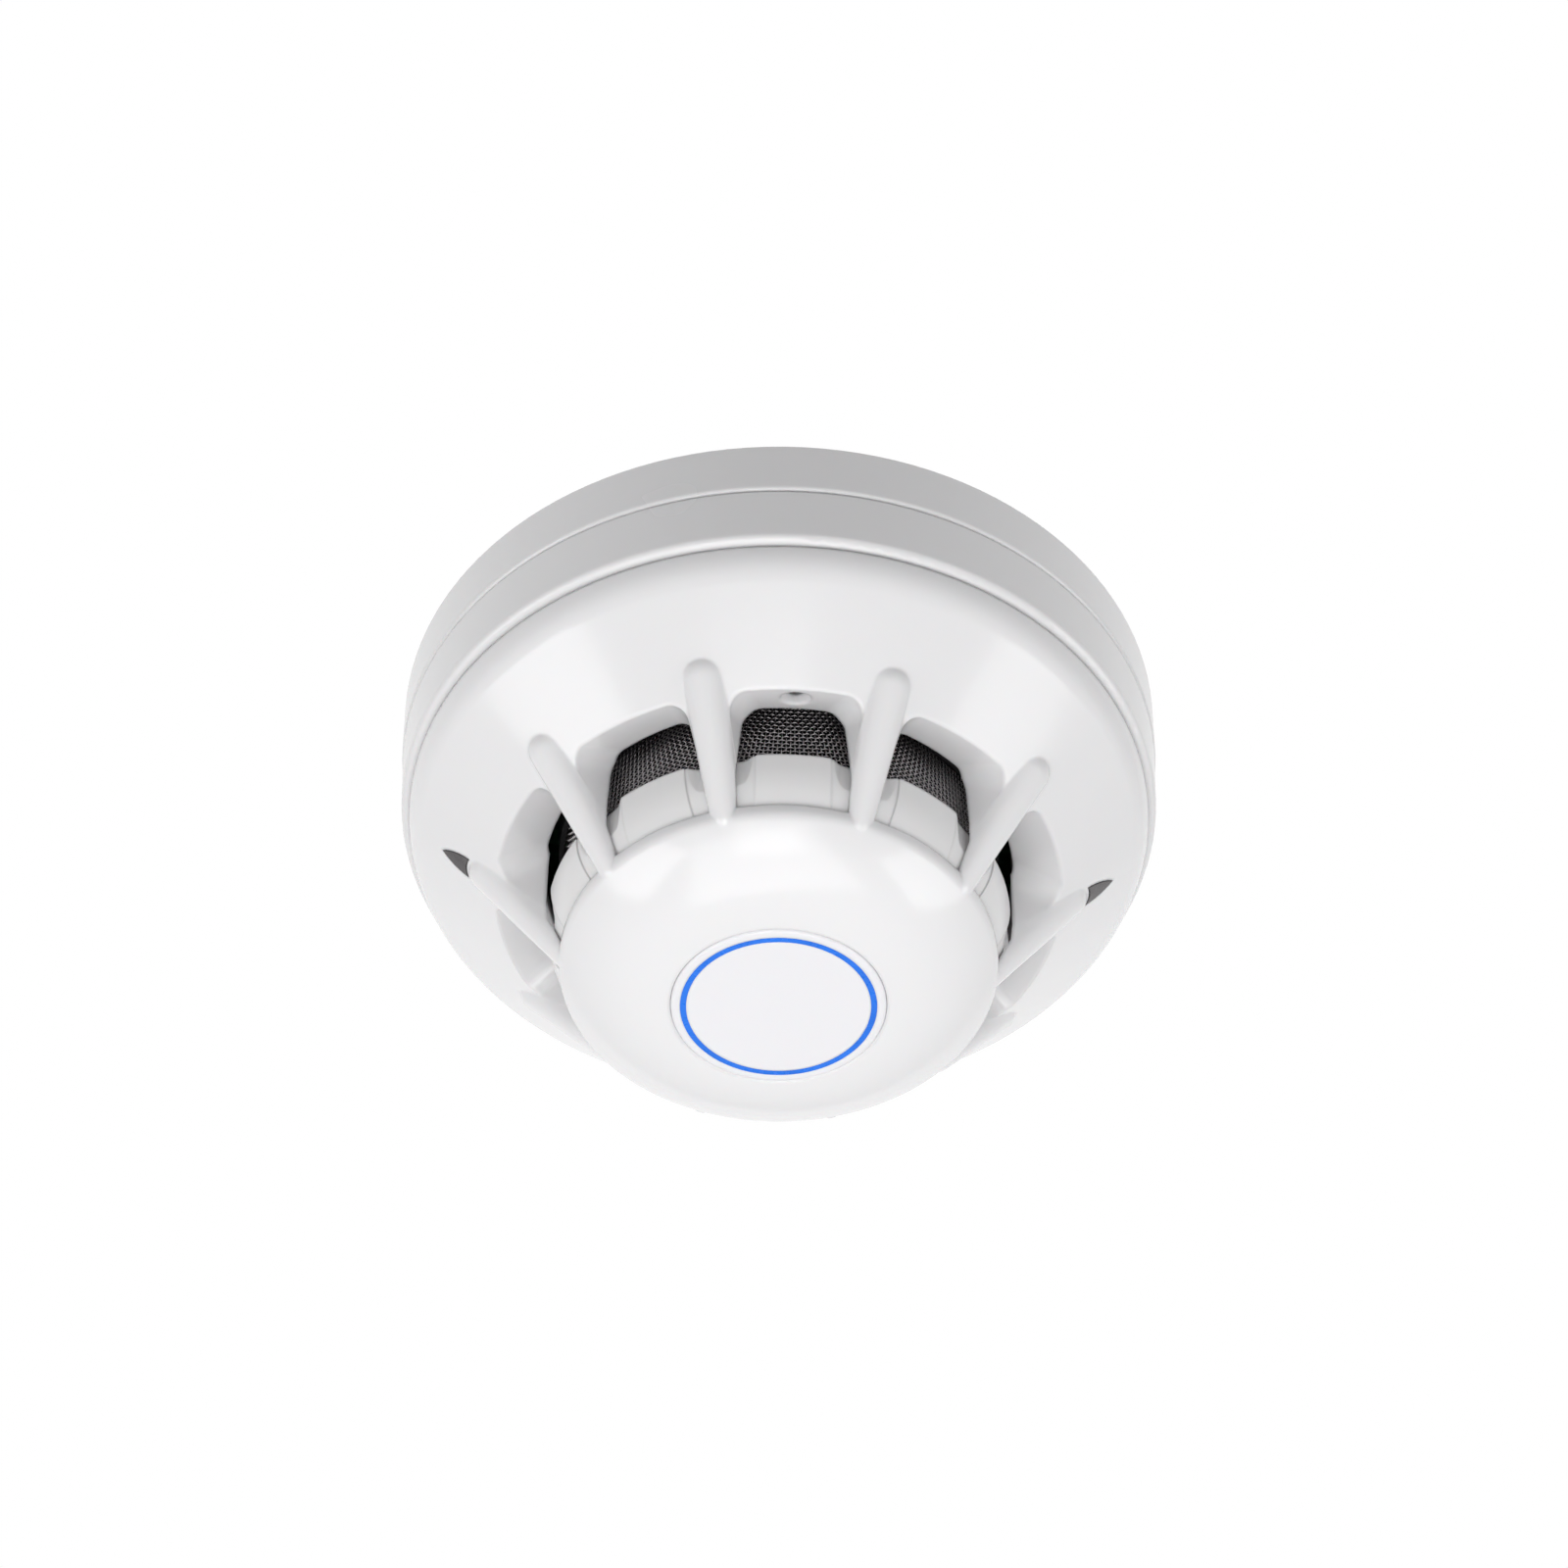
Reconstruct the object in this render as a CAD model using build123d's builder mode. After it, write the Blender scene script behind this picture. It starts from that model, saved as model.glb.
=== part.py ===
from build123d import *
from math import asin, atan2, cos, degrees, hypot, radians, sin, tan
import os

# Ceiling fire detector on its twist-lock base.
# Millimetres and degrees. The ceiling is the plane z = 0 and the detector hangs towards -z.
# The front, with the access hole, faces -y. Angles are measured from +x towards +y.

os.makedirs("parts", exist_ok=True)

# ---------------------------------------------------------------- driving dimensions
base_radius = 50.0
base_bottom = -8.45
base_wall = 2.5
plate_top = -1.0
plate_bottom = -3.2
cable_radius = 13.0

twist_gap = 0.3  # between the base and the head
head_wall_top = base_bottom - twist_gap
head_plate_top = -9.0
head_plate_bottom = -10.8
housing_radius = 49.73
housing_lip_radius = 49.42
housing_inner_radius = 47.4
seam_top = -17.45
seam_height = 0.45

cover_top = seam_top - seam_height
cover_radius = 48.35
cover_wall = 2.2
shoulder_radius = 5.5
shoulder_z = -18.15
cone_angle = 42.0

window_count = 10
window_step = 360 / window_count
recess_outer_radius = 36.6
opening_radius = 30.35
opening_z = -27.85
recess_corner_radius = 2.45

rib_outer_radius = 2.9  # the crest is a tapering half round: at the cone
rib_inner_radius = 1.75  # and at the nose
rib_draft = 4.0
rib_depth = 11.0
rib_outer_point = (40.45, -28.8)  # radius and z of the crest, where it leaves the cone
rib_inner_point = (27.6, -44.9)  # radius and z of the crest, at the nose
rib_outer_overlap = 1.2  # how far the rib runs on past these points
rib_inner_overlap = 1.0

nose_radius = 27.9
nose_rim_top = -42.6
nose_bottom = -50.4
nose_flat_radius = 13.7
nose_dome_radius = 19.5
nose_wall = 1.8

mesh_radius = 28.0
mesh_wall = 0.4
mesh_top = -24.3
mesh_bottom = -38.0

board_radius = 43.5
board_top = -12.2
board_thickness = 1.6
board_bottom = board_top - board_thickness

ledge_angles = (90.0, 210.0, 330.0)
bayonet_width = 16.0
twist_angle = 20.0
terminal_angles = (45.0, 135.0, 225.0, 315.0)
terminal_radius = 21.0
cover_screw_angles = (0.0, 90.0, 180.0)
cover_screw_radius = 33.4
board_screw_angles = (60.0, 150.0, 240.0)
board_screw_radius = 31.3
lock_position = (0.0, -33.35)
lamp_radius = 41.8


# ---------------------------------------------------------------- helpers
def polar(radius, angle):
    """The point at this radius and angle in the xy plane."""
    return (radius * cos(radians(angle)), radius * sin(radians(angle)))


def radial_plane(angle):
    """The upright plane through the axis: its x runs outwards at this angle, its y is +z."""
    a = radians(angle)
    return Plane(origin=(0, 0, 0), x_dir=(cos(a), sin(a), 0), z_dir=(sin(a), -cos(a), 0))


def turned_plane(radius, angle, z):
    """A level plane at this radius and angle, with its x running outwards."""
    x, y = polar(radius, angle)
    a = radians(angle)
    return Plane(origin=(x, y, z), x_dir=(cos(a), sin(a), 0), z_dir=(0, 0, 1))


def ring_part(inner, outer, middle, width):
    """In the open sketch: the part of a flat ring that spans width degrees about middle."""
    start = middle - width / 2
    with BuildLine() as outline:
        outer_arc = CenterArc((0, 0), outer, start, width)
        inner_arc = CenterArc((0, 0), inner, start, width)
        Line(outer_arc @ 0, inner_arc @ 0)
        Line(outer_arc @ 1, inner_arc @ 1)
    make_face(outline.edges())


def disc(radius, low, high, mode=Mode.ADD, at=((0.0, 0.0),)):
    """In the open part: an upright cylinder between two heights at each point."""
    with BuildSketch(Plane.XY.offset(low)) as outline:
        with Locations(*at):
            Circle(radius)
    extrude(outline.sketch, amount=high - low, mode=mode)


def ring(inner, outer, low, high, mode=Mode.ADD):
    """In the open part: a plain ring about the axis between two heights."""
    with BuildSketch(Plane.XY.offset(low)) as outline:
        Circle(outer)
        Circle(inner, mode=Mode.SUBTRACT)
    extrude(outline.sketch, amount=high - low, mode=mode)


def turned(points, mode=Mode.ADD):
    """In the open part: the closed outline of (radius, z) points turned about the axis."""
    with BuildSketch(Plane.XZ) as outline:
        with BuildLine():
            Polyline(*points, close=True)
        make_face()
    revolve(outline.sketch, axis=Axis.Z, mode=mode)


# ---------------------------------------------------------------- shapes that follow from those
cone_rise = tan(radians(cone_angle))
shoulder_end_radius = cover_radius - shoulder_radius * (1 - sin(radians(cone_angle)))
shoulder_end_z = shoulder_z - shoulder_radius * cos(radians(cone_angle))


def cone_z(radius):
    """Height of the cover's outer cone at this radius."""
    return shoulder_end_z - (shoulder_end_radius - radius) * cone_rise


roof_rise = (opening_z - cone_z(recess_outer_radius)) / (recess_outer_radius - opening_radius)


def roof_z(radius):
    """Height of the sloping roof of the window recesses at this radius."""
    return opening_z - (radius - opening_radius) * roof_rise


crest_run = rib_outer_point[0] - rib_inner_point[0]
crest_drop = rib_outer_point[1] - rib_inner_point[1]
crest_length = hypot(crest_run, crest_drop)
crest_down = (-crest_run / crest_length, -crest_drop / crest_length)
crest_normal = (crest_drop / crest_length, -crest_run / crest_length)


def ball_centre(point, along, radius):
    """Centre of a ball that touches the crest line from inside: (radius, z)."""
    return tuple(
        point[i] + along * crest_down[i] - radius * crest_normal[i] for i in (0, 1)
    )


ball_outer = ball_centre(rib_outer_point, rib_outer_radius - rib_outer_overlap, rib_outer_radius)
ball_inner = ball_centre(rib_inner_point, rib_inner_overlap - rib_inner_radius, rib_inner_radius)
ball_run = ball_outer[0] - ball_inner[0]
ball_drop = ball_outer[1] - ball_inner[1]
ball_distance = hypot(ball_run, ball_drop)
# the plane through both ball centres, square to the rib: its x runs down to the nose
rib_plane = Plane(
    origin=(ball_outer[0], 0, ball_outer[1]),
    x_dir=(-ball_run / ball_distance, 0, -ball_drop / ball_distance),
    z_dir=(ball_drop / ball_distance, 0, -ball_run / ball_distance),
)


def rib_outline(margin):
    """In the open sketch: the rib's tapering outline with round ends, grown by the margin."""
    Circle(rib_outer_radius + margin)
    with Locations((ball_distance, 0)):
        Circle(rib_inner_radius + margin)
    make_hull()


# ================================================================ the base
ledge_top = -6.7
ledge_bottom = -7.9
ledge_inner_radius = 38.6
catch_wall_inner_radius = 40.2
catch_wall_outer_radius = 41.6
slot_spacing = 60.0
slot_length = 13.5
slot_width = 4.5
terminal_boss_bottom = -4.6
lock_boss_radius = 3.3
lock_boss_bottom = -8.0
lock_cavity_radius = 2.3
lock_lip_top = -6.9
lock_bore_radius = 1.25

with BuildPart() as base_ring:
    turned(
        (
            (cable_radius, 0),
            (cable_radius + 3, 0),
            (cable_radius + 3, plate_top),
            (base_radius - 4, plate_top),
            (base_radius - 4, 0),
            (base_radius, 0),
            (base_radius - 0.12, base_bottom),
            (base_radius - base_wall, base_bottom),
            (base_radius - base_wall, plate_bottom),
            (cable_radius, plate_bottom),
        )
    )
    # stiffening ribs on the ceiling side
    with BuildSketch(Plane.XY.offset(plate_top)):
        with PolarLocations((cable_radius + base_radius - 1) / 2, 8, start_angle=22.5):
            Rectangle(base_radius - cable_radius - 6, 1.2)
    extrude(amount=-plate_top)
    # raised pads round the two fixing slots
    with BuildSketch(Plane.XY.offset(plate_bottom)):
        with Locations((-slot_spacing / 2, 0), (slot_spacing / 2, 0)):
            SlotOverall(slot_length + 7, slot_width + 7)
    extrude(amount=-plate_bottom)
    # wall with the three bayonet ledges and their end stops
    ring(catch_wall_inner_radius, catch_wall_outer_radius, ledge_bottom, plate_bottom)
    for middle in ledge_angles:
        with BuildSketch(Plane.XY.offset(ledge_bottom)):
            ring_part(ledge_inner_radius, catch_wall_inner_radius + 0.1, middle, bayonet_width)
        extrude(amount=ledge_top - ledge_bottom)
        with BuildSketch(Plane.XY.offset(ledge_top)):
            ring_part(ledge_inner_radius, catch_wall_inner_radius + 0.1, middle + 10.5, 2)
        extrude(amount=plate_bottom - ledge_top)
    # bosses under the terminals, and the lock pin's housing
    for angle in terminal_angles:
        with BuildSketch(turned_plane(terminal_radius, angle, terminal_boss_bottom)):
            Rectangle(9, 8)
        extrude(amount=plate_bottom - terminal_boss_bottom)
    disc(lock_boss_radius, lock_boss_bottom, plate_bottom, at=(lock_position,))
    # openings
    with BuildSketch(Plane.XY.offset(plate_bottom)):
        with Locations((-slot_spacing / 2, 0), (slot_spacing / 2, 0)):
            SlotOverall(slot_length, slot_width)
    extrude(amount=-plate_bottom, mode=Mode.SUBTRACT)
    terminal_points = [polar(terminal_radius, angle) for angle in terminal_angles]
    disc(1.7, terminal_boss_bottom, -1.8, Mode.SUBTRACT, terminal_points)
    disc(lock_cavity_radius, lock_lip_top, plate_top, Mode.SUBTRACT, (lock_position,))
    disc(lock_bore_radius, lock_boss_bottom, lock_lip_top, Mode.SUBTRACT, (lock_position,))
    rim_edges = base_ring.edges().filter_by(GeomType.CIRCLE).filter_by(
        lambda edge: edge.radius > base_radius - 0.2
    )
    fillet(rim_edges, 0.5)
base_ring.part.label = "base_ring"
export_step(base_ring.part, "parts/base_ring.step")

# Leaf contacts: flat under the terminal screw, then sloping down to the head's contact blades.
spring_thickness = 0.5
spring_middle = terminal_boss_bottom - spring_thickness / 2
spring_low = -7.8
with BuildPart() as contact_springs:
    for angle in terminal_angles:
        with BuildSketch(radial_plane(angle)):
            with BuildLine() as leaf:
                FilletPolyline(
                    (terminal_radius - 4.5, spring_middle),
                    (terminal_radius + 4.5, spring_middle),
                    (terminal_radius + 10.5, spring_low),
                    (terminal_radius + 13, spring_low + 0.8),
                    radius=1.2,
                )
            trace(line_width=spring_thickness)
        extrude(amount=2.75, both=True)
    disc(1.9, -6, -4, Mode.SUBTRACT, terminal_points)
contact_springs.part.label = "contact_springs"
export_step(contact_springs.part, "parts/contact_springs.step")

washer_top = terminal_boss_bottom - spring_thickness
washer_bottom = washer_top - 0.8
with BuildPart() as clamp_washers:
    for angle in terminal_angles:
        with BuildSketch(turned_plane(terminal_radius, angle, washer_bottom)):
            RectangleRounded(7.5, 7.5, 1)
        extrude(amount=washer_top - washer_bottom)
    disc(1.9, washer_bottom, washer_top, Mode.SUBTRACT, terminal_points)
clamp_washers.part.label = "clamp_washers"
export_step(clamp_washers.part, "parts/clamp_washers.step")

terminal_head_bottom = washer_bottom - 1.8
with BuildPart() as terminal_screws:
    disc(3.0, terminal_head_bottom, washer_bottom, at=terminal_points)
    fillet(terminal_screws.faces().sort_by(Axis.Z)[:4].edges(), 0.6)
    disc(1.65, washer_bottom, -2.2, at=terminal_points)
    with BuildSketch(Plane.XY.offset(terminal_head_bottom)):
        with Locations(*terminal_points):
            Rectangle(4, 0.8)
            Rectangle(0.8, 4)
    extrude(amount=0.9, mode=Mode.SUBTRACT)
terminal_screws.part.label = "terminal_screws"
export_step(terminal_screws.part, "parts/terminal_screws.step")

# Anti-tamper lock: a sprung pin that drops into the head's slot, pushed up by a thin tool.
pin_flange_top = -5.7
pin_flange_bottom = -6.8
pin_bottom = -9.9
with BuildPart() as lock_pin:
    disc(2.1, pin_flange_bottom, pin_flange_top, at=(lock_position,))
    disc(1.2, pin_bottom, pin_flange_bottom, at=(lock_position,))
    chamfer(lock_pin.faces().sort_by(Axis.Z)[0].edges(), 0.3)
lock_pin.part.label = "lock_pin"
export_step(lock_pin.part, "parts/lock_pin.step")

cap_bottom = -1.8
coil_radius = 1.75
coil_wire = 0.2
coil_bottom = pin_flange_top + coil_wire + 0.02
coil_top = cap_bottom - coil_wire - 0.02
with BuildPart() as lock_spring:
    with BuildLine(Plane(origin=(*lock_position, coil_bottom))) as coil:
        Helix(pitch=(coil_top - coil_bottom) / 4, height=coil_top - coil_bottom, radius=coil_radius)
    with BuildSketch(Plane(origin=coil.line @ 0, z_dir=coil.line % 0)):
        Circle(coil_wire)
    sweep(path=coil.line, is_frenet=True)
lock_spring.part.label = "lock_spring"
export_step(lock_spring.part, "parts/lock_spring.step")

with BuildPart() as lock_cap:
    disc(lock_cavity_radius - 0.02, cap_bottom, plate_top, at=(lock_position,))
    disc(lock_cavity_radius + 0.7, plate_top, plate_top + 0.4, at=(lock_position,))
lock_cap.part.label = "lock_cap"
export_step(lock_cap.part, "parts/lock_cap.step")

# ================================================================ the head's rear housing
hub_inner_radius = 36.8
hub_outer_radius = 38.2
hub_top = -4.4
tab_outer_radius = 39.8
tab_top = -4.7
tab_bottom = -6.3
screw_pocket_depth = 1.0
blade_top = -8.5
rivet_radius = 31.0
rivet_offset = -10.0
rivet_points = [polar(rivet_radius, angle + rivet_offset) for angle in terminal_angles]
cover_screw_points = [polar(cover_screw_radius, angle) for angle in cover_screw_angles]
board_screw_points = [polar(board_screw_radius, angle) for angle in board_screw_angles]

with BuildPart() as rear_housing:
    turned(
        (
            (0, head_plate_top),
            (housing_inner_radius - 0.6, head_plate_top),
            (housing_inner_radius - 0.6, head_wall_top),
            (housing_radius, head_wall_top),
            (housing_lip_radius, seam_top),
            (housing_inner_radius, seam_top),
            (housing_inner_radius, head_plate_bottom),
            (0, head_plate_bottom),
        )
    )
    outer_edges = rear_housing.edges().filter_by(GeomType.CIRCLE).filter_by(
        lambda edge: edge.radius > housing_lip_radius - 0.1
    )
    fillet(outer_edges.sort_by(Axis.Z)[-1:], 0.25)
    fillet(outer_edges.sort_by(Axis.Z)[:1], 0.9)
    ring(hub_inner_radius, hub_outer_radius, head_plate_top, hub_top)
    for middle in ledge_angles:
        with BuildSketch(Plane.XY.offset(tab_bottom)):
            ring_part(hub_outer_radius - 0.1, tab_outer_radius, middle, bayonet_width)
        extrude(amount=tab_top - tab_bottom)
    # standoffs for the circuit board
    disc(2.6, board_top, head_plate_bottom, at=board_screw_points)
    disc(1.05, board_top, -9.8, Mode.SUBTRACT, board_screw_points)
    # screw pockets and holes, rivet holes
    disc(3.0, head_plate_top - screw_pocket_depth, head_plate_top, Mode.SUBTRACT, cover_screw_points)
    disc(1.6, head_plate_bottom, head_plate_top, Mode.SUBTRACT, cover_screw_points)
    disc(0.95, head_plate_bottom, head_plate_top, Mode.SUBTRACT, rivet_points)
    # slot that the lock pin runs in while the head is twisted
    lock_radius = hypot(*lock_position)
    with BuildSketch(Plane.XY.offset(head_plate_bottom)):
        ring_part(lock_radius - 1.8, lock_radius + 1.8, -90 + twist_angle / 2, twist_angle + 7)
    extrude(amount=head_plate_top - head_plate_bottom, mode=Mode.SUBTRACT)
rear_housing.part.label = "rear_housing"
export_step(rear_housing.part, "parts/rear_housing.step")

with BuildPart() as contact_blades:
    for angle in terminal_angles:
        with BuildSketch(Plane.XY.offset(head_plate_top)):
            ring_part(28, 34, angle, 26)
        extrude(amount=blade_top - head_plate_top)
    disc(0.95, head_plate_top, blade_top, Mode.SUBTRACT, rivet_points)
contact_blades.part.label = "contact_blades"
export_step(contact_blades.part, "parts/contact_blades.step")

with BuildPart() as contact_rivets:
    disc(0.9, board_bottom, blade_top, at=rivet_points)
    disc(1.5, blade_top, blade_top + 0.4, at=rivet_points)
    disc(1.4, board_bottom - 0.5, board_bottom, at=rivet_points)
contact_rivets.part.label = "contact_rivets"
export_step(contact_rivets.part, "parts/contact_rivets.step")

cover_screw_seat = head_plate_top - screw_pocket_depth
with BuildPart() as cover_screws:
    disc(2.6, cover_screw_seat, cover_screw_seat + 1.5, at=cover_screw_points)
    fillet(cover_screws.faces().sort_by(Axis.Z)[-3:].edges(), 0.5)
    disc(1.25, cover_screw_seat - 8, cover_screw_seat, at=cover_screw_points)
    with BuildSketch(Plane.XY.offset(cover_screw_seat + 0.7)):
        with Locations(*cover_screw_points):
            Rectangle(3.2, 0.7)
            Rectangle(0.7, 3.2)
    extrude(amount=0.8, mode=Mode.SUBTRACT)
cover_screws.part.label = "cover_screws"
export_step(cover_screws.part, "parts/cover_screws.step")

# ================================================================ the outer cover
lens_tip_radius = 43.55
lens_root_radius = 40.1
lens_half_width = 1.55
lens_gap = 0.12
lens_top = -17.6
post_radius = 3.0
tunnel_radius = 1.9
tunnel_outer_radius = 2.7
tunnel_top = -14.3
access_hole_bottom = -31.6  # below the recess roof, so that the cone runs right through it
access_hole_radius = 2.6
access_hole_depth = 4.55
access_hole_taper = 17.0
tunnel_bottom = access_hole_bottom + access_hole_depth
cavity_points = (
    (0, head_wall_top),
    (0, nose_rim_top),
    (nose_radius - 0.2, nose_rim_top),
    (opening_radius - 0.7, -38.6),
    (opening_radius - 0.4, -36),
    (opening_radius - 0.4, opening_z - 0.65),
    (opening_radius, opening_z - 0.15),
    (opening_radius, -26.2),
    (32.2, -26.2),
    (36.8, cone_z(36.8) + 2.4),
    (shoulder_end_radius - 1.6, shoulder_end_z + 1.6),
    (45.4, shoulder_z - 1),
    (45.4, head_wall_top),
)
dome_centre_z = nose_bottom + nose_dome_radius


def dome_arc(radius, edge_radius):
    """In the open line: the nose's arc of this radius, from the flat out to edge_radius."""
    reach = degrees(asin((edge_radius - nose_flat_radius) / radius))
    return CenterArc((nose_flat_radius, dome_centre_z), radius, -90, reach)


def lens_outline(margin):
    """In the open sketch: the pointed lens outline on +x, grown by the margin."""
    with BuildLine() as outline:
        upper = ThreePointArc(
            (lens_tip_radius + margin, 0),
            (42.1, 1.05 + margin),
            (lens_root_radius - margin, lens_half_width + margin),
        )
        lower = ThreePointArc(
            (lens_root_radius - margin, -lens_half_width - margin),
            (42.1, -1.05 - margin),
            (lens_tip_radius + margin, 0),
        )
        ThreePointArc(upper @ 1, (lens_root_radius + 0.35 - margin, 0), lower @ 0)
    make_face(outline.edges())


# One rib on +x: flat drafted flanks under a tapering round crest with ball ends.
with BuildPart() as rib:
    with BuildSketch(rib_plane):
        rib_outline(-0.03)
    extrude(amount=-rib_depth, taper=-rib_draft)
    with BuildSketch(rib_plane):
        rib_outline(0)
        with Locations((ball_distance / 2, 0)):
            Rectangle(2 * ball_distance, 10, align=(Align.CENTER, Align.MIN), mode=Mode.INTERSECT)
    revolve(axis=Axis(rib_plane.origin, rib_plane.x_dir))

# A slightly wider plain rib, which leaves the recess walls a hair behind the ribs' flanks.
with BuildPart() as rib_clearance:
    with BuildSketch(rib_plane):
        rib_outline(0.05)
    extrude(amount=-rib_depth, taper=-rib_draft)
    with BuildSketch(rib_plane):
        rib_outline(0.05)
    extrude(amount=4)

# The space that one window recess cuts out of the cone, with its two upper corners rounded.
half_step = window_step / 2
sector_reach = 60.0
with BuildPart() as recess:
    turned(((29, roof_z(29)), (29, -52), (44, -52), (44, roof_z(44))))
    with BuildSketch(Plane.XY.offset(-60)):
        with BuildLine():
            far_side = [polar(sector_reach, side * half_step) for side in (-1, 1)]
            Polyline((0, 0), far_side[0], far_side[1], close=True)
        make_face()
    extrude(amount=50, mode=Mode.INTERSECT)
    for side in (-1, 1):
        add(rib_clearance.part, rotation=(0, 0, side * half_step), mode=Mode.SUBTRACT)
    roof_edges = recess.edges().filter_by(
        lambda edge: abs((edge @ 0.5).Y) > 3
        and 30 < hypot((edge @ 0.5).X, (edge @ 0.5).Y) < recess_outer_radius
        and abs((edge @ 0.5).Z - roof_z(hypot((edge @ 0.5).X, (edge @ 0.5).Y))) < 0.1
    )
    fillet(roof_edges, recess_corner_radius)

with BuildPart() as outer_cover:
    # spigot, shoulder and cone, solid down to the windows
    with BuildSketch(Plane.XZ):
        with BuildLine():
            Polyline(
                (45.4, -12),
                (housing_inner_radius - 0.2, -12),
                (housing_inner_radius - 0.2, cover_top),
                (cover_radius, cover_top),
                (cover_radius, shoulder_z),
            )
            RadiusArc(
                (cover_radius, shoulder_z), (shoulder_end_radius, shoulder_end_z), shoulder_radius
            )
            Polyline(
                (shoulder_end_radius, shoulder_end_z),
                (29.5, cone_z(29.5)),
                (29.5, -26.2),
                (45.4, shoulder_z - 1),
                (45.4, -12),
            )
        make_face()
    revolve(axis=Axis.Z)
    for index in range(window_count):
        add(recess.part, rotation=(0, 0, (index + 0.5) * window_step), mode=Mode.SUBTRACT)
    # domed nose
    with BuildSketch(Plane.XZ):
        with BuildLine():
            dome = dome_arc(nose_dome_radius, nose_radius)
            Polyline(
                dome @ 1, (nose_radius, nose_rim_top), (0, nose_rim_top), (0, nose_bottom), dome @ 0
            )
        make_face()
    revolve(axis=Axis.Z)
    nose_edges = outer_cover.edges().filter_by(GeomType.CIRCLE).filter_by(
        lambda edge: abs(edge.radius - nose_radius) < 0.01
    )
    fillet(nose_edges.sort_by(Axis.Z)[:1], 1.6)
    fillet(nose_edges.sort_by(Axis.Z)[-1:], 0.25)
    for index in range(window_count):
        add(rib.part, rotation=(0, 0, index * window_step))
    # hollow inside: the body's cavity, then the nose's
    turned(cavity_points, Mode.SUBTRACT)
    with BuildSketch(Plane.XZ):
        with BuildLine():
            inner_dome = dome_arc(nose_dome_radius - nose_wall, 25.4)
            Polyline(
                inner_dome @ 1,
                (25.4, nose_rim_top),
                (0, nose_rim_top),
                (0, dome_centre_z - nose_dome_radius + nose_wall),
                inner_dome @ 0,
            )
        make_face()
    revolve(axis=Axis.Z, mode=Mode.SUBTRACT)
    # seat of the nose insert, with a small chamfer
    disc(nose_flat_radius - 0.05, nose_bottom, nose_bottom + 0.8, Mode.SUBTRACT)
    turned(
        (
            (nose_flat_radius - 0.2, nose_bottom - 0.4),
            (nose_flat_radius + 0.5, nose_bottom - 0.4),
            (nose_flat_radius - 0.05, nose_bottom + 0.3),
            (nose_flat_radius - 0.2, nose_bottom + 0.3),
        ),
        Mode.SUBTRACT,
    )
    # screw posts and the guide tube of the lock's access hole
    disc(post_radius, -27.2, head_plate_bottom, at=cover_screw_points)
    disc(1.3, -20, head_plate_bottom, Mode.SUBTRACT, cover_screw_points)
    disc(tunnel_outer_radius, tunnel_bottom, tunnel_top, at=(lock_position,))
    disc(tunnel_radius, tunnel_bottom, tunnel_top, Mode.SUBTRACT, (lock_position,))
    with BuildSketch(Plane.XY.offset(access_hole_bottom)):
        with Locations(lock_position):
            Circle(access_hole_radius)
    extrude(amount=access_hole_depth, taper=access_hole_taper, mode=Mode.SUBTRACT)
    # openings for the two lenses
    for index in (0, 1):
        with BuildSketch(Plane.XY.offset(-30).rotated((0, 0, index * 180))):
            lens_outline(lens_gap)
        extrude(amount=12, mode=Mode.SUBTRACT)
outer_cover.part.label = "outer_cover"
export_step(outer_cover.part, "parts/outer_cover.step")

with BuildPart() as right_led_lens:
    with BuildSketch(Plane.XY.offset(-30)):
        lens_outline(0)
    extrude(amount=lens_top + 30)
    turned(
        (
            (30, -15),
            (48, -15),
            (48, cone_z(48) - 0.05),
            (30, cone_z(30) - 0.05),
        ),
        Mode.INTERSECT,
    )
right_led_lens.part.label = "right_led_lens"
export_step(right_led_lens.part, "parts/right_led_lens.step")

with BuildPart() as left_led_lens:
    add(right_led_lens.part, rotation=(0, 0, 180))
left_led_lens.part.label = "left_led_lens"
export_step(left_led_lens.part, "parts/left_led_lens.step")

# ================================================================ nose insert
insert_top = nose_bottom + 0.8
insert_bottom = nose_bottom - 0.04
blue_inner_radius = 11.65
blue_outer_radius = 12.43
groove_top = insert_bottom + 0.4
with BuildPart() as nose_insert:
    disc(nose_flat_radius - 0.1, insert_bottom, insert_top)
    fillet(nose_insert.edges().sort_by(Axis.Z)[0], 0.35)
    ring(blue_inner_radius, blue_outer_radius, insert_bottom, groove_top, Mode.SUBTRACT)
nose_insert.part.label = "nose_insert"
export_step(nose_insert.part, "parts/nose_insert.step")

with BuildPart() as blue_ring:
    ring(blue_inner_radius + 0.01, blue_outer_radius - 0.01, insert_bottom, groove_top)
blue_ring.part.label = "blue_ring"
export_step(blue_ring.part, "parts/blue_ring.step")

# ================================================================ inner deflector
block_top = -35.55
block_half_width = 4.73
block_radii = (29.7, 29.3, 27.35)  # at the top, at the bend and at the foot
block_step = 0.2  # how far the blocks stand out from the ring
block_bend = -38.6
scoop_radius = 28.65
scoop_half_width = 3.1
scoop_slope = 2.09  # of the scoop's sides, across for each step outwards
scoop_reach = 2.3
deflector_inner_radius = mesh_radius + 0.15
deflector_floor_top = mesh_bottom - 0.3
deflector_foot = nose_rim_top + 0.03
spigot_bottom = nose_rim_top - 1.5


def deflector_face(step):
    """In the open line: the curved outer face of the deflector, set back by the step."""
    top, bend, foot = (radius - step for radius in block_radii)
    return ThreePointArc((top, block_top), (bend, block_bend), (foot, deflector_foot))


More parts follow.
